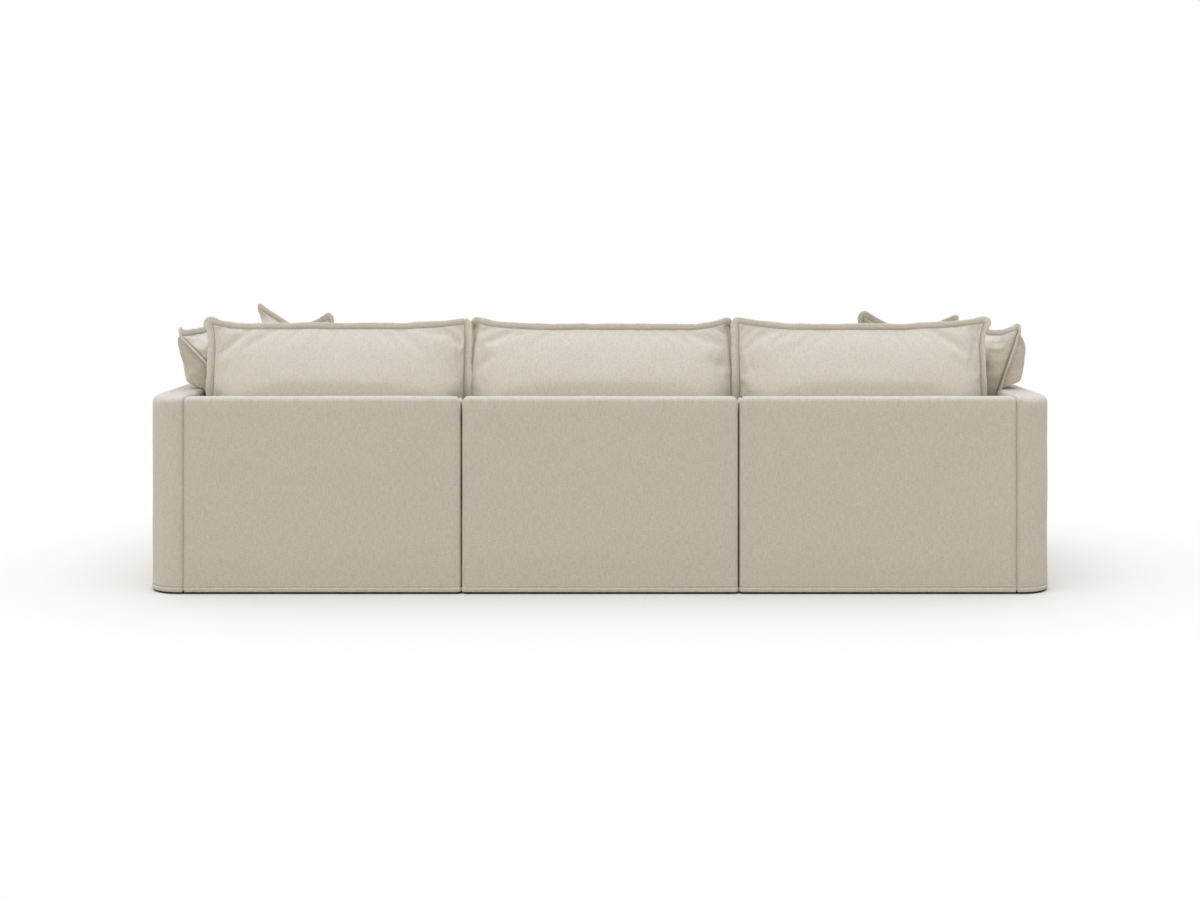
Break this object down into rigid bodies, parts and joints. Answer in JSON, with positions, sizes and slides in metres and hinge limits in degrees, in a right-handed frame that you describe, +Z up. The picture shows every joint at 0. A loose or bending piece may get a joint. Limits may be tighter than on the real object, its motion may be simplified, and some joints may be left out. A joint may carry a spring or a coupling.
{
  "type": "sectional sofa with chaise",
  "caption": "Low modular sectional sofa with a chaise: slipcovered timber frames, flanged loose cushions, side cushions and throw pillows.",
  "frame": {"origin": "middle of the sofa's footprint, on the floor", "axes": "+Z up, -Y is the front that a sitter faces, +X towards the chaise, which is on the sitter's left"},
  "size_m": [3.076, 1.65, 0.9552],
  "materials": {
    "linen": "woven linen blend, matt",
    "timber": "sawn kiln-dried hardwood",
    "foam": "cut foam and fibre wadding",
    "webbing": "woven elastic strap",
    "lining": "black non-woven lining",
    "glide": "black moulded plastic",
    "connector": "zinc plated steel"
  },
  "bodies": {
    "centre_module": {"centre_base_frame": "timber", "centre_back_frame": "timber", "centre_back_foam": "foam", "centre_webbing": "webbing", "centre_deck_pad": "foam", "centre_dust_cover": "lining", "centre_slipcover": "linen", "centre_foot_1": "glide", "centre_foot_2": "glide", "centre_foot_3": "glide", "centre_foot_4": "glide", "right_hook": "connector", "chaise_hook": "connector"},
    "centre_seat_cushion": {"centre_seat_cover": "linen", "centre_seat_core": "foam"},
    "centre_back_cushion": {"centre_back_cover": "linen", "centre_back_insert": "foam"},
    "right_module": {"right_base_frame": "timber", "right_back_frame": "timber", "right_back_foam": "foam", "right_webbing": "webbing", "right_deck_pad": "foam", "right_dust_cover": "lining", "right_slipcover": "linen", "right_foot_1": "glide", "right_foot_2": "glide", "right_foot_3": "glide", "right_foot_4": "glide", "right_arm_frame": "timber", "right_arm_foam": "foam", "right_socket": "connector"},
    "right_seat_cushion": {"right_seat_cover": "linen", "right_seat_core": "foam"},
    "right_back_cushion": {"right_back_cover": "linen", "right_back_insert": "foam"},
    "right_side_cushion": {"right_side_cover": "linen", "right_side_insert": "foam"},
    "right_throw_pillow": {"right_pillow": "linen"},
    "chaise_module": {"chaise_base_frame": "timber", "chaise_back_frame": "timber", "chaise_back_foam": "foam", "chaise_webbing": "webbing", "chaise_deck_pad": "foam", "chaise_dust_cover": "lining", "chaise_slipcover": "linen", "chaise_foot_1": "glide", "chaise_foot_2": "glide", "chaise_foot_3": "glide", "chaise_foot_4": "glide", "chaise_foot_5": "glide", "chaise_arm_frame": "timber", "chaise_arm_foam": "foam", "chaise_socket": "connector"},
    "chaise_seat_cushion": {"chaise_seat_cover": "linen", "chaise_seat_core": "foam"},
    "chaise_back_cushion": {"chaise_back_cover": "linen", "chaise_back_insert": "foam"},
    "chaise_side_cushion": {"chaise_side_cover": "linen", "chaise_side_insert": "foam"},
    "chaise_throw_pillow": {"chaise_pillow": "linen"}
  },
  "joints": [
    {"name": "right_module_lift", "type": "slide", "parent": "centre_module", "child": "right_module", "axis": [0, 0, 1], "range_m": [0, 0.12]},
    {"name": "chaise_module_lift", "type": "slide", "parent": "centre_module", "child": "chaise_module", "axis": [0, 0, 1], "range_m": [0, 0.12]},
    {"name": "centre_seat_pull", "type": "slide", "parent": "centre_module", "child": "centre_seat_cushion", "axis": [0, -1, 0], "range_m": [0, 0.25]},
    {"name": "centre_back_lift", "type": "slide", "parent": "centre_module", "child": "centre_back_cushion", "axis": [0, 0, 1], "range_m": [0, 0.25]},
    {"name": "right_seat_pull", "type": "slide", "parent": "right_module", "child": "right_seat_cushion", "axis": [0, -1, 0], "range_m": [0, 0.25]},
    {"name": "right_back_lift", "type": "slide", "parent": "right_module", "child": "right_back_cushion", "axis": [0, 0, 1], "range_m": [0, 0.25]},
    {"name": "chaise_seat_pull", "type": "slide", "parent": "chaise_module", "child": "chaise_seat_cushion", "axis": [0, -1, 0], "range_m": [0, 0.25]},
    {"name": "chaise_back_lift", "type": "slide", "parent": "chaise_module", "child": "chaise_back_cushion", "axis": [0, 0, 1], "range_m": [0, 0.25]},
    {"name": "right_side_lift", "type": "slide", "parent": "right_module", "child": "right_side_cushion", "axis": [0, 0, 1], "range_m": [0, 0.06]},
    {"name": "chaise_side_lift", "type": "slide", "parent": "chaise_module", "child": "chaise_side_cushion", "axis": [0, 0, 1], "range_m": [0, 0.06]},
    {"name": "right_pillow_lift", "type": "slide", "parent": "right_module", "child": "right_throw_pillow", "axis": [0.3531, -0.452, 0.8192], "range_m": [0, 0.25]},
    {"name": "chaise_pillow_lift", "type": "slide", "parent": "chaise_module", "child": "chaise_throw_pillow", "axis": [-0.452, -0.3531, 0.8192], "range_m": [0, 0.25]}
  ]
}
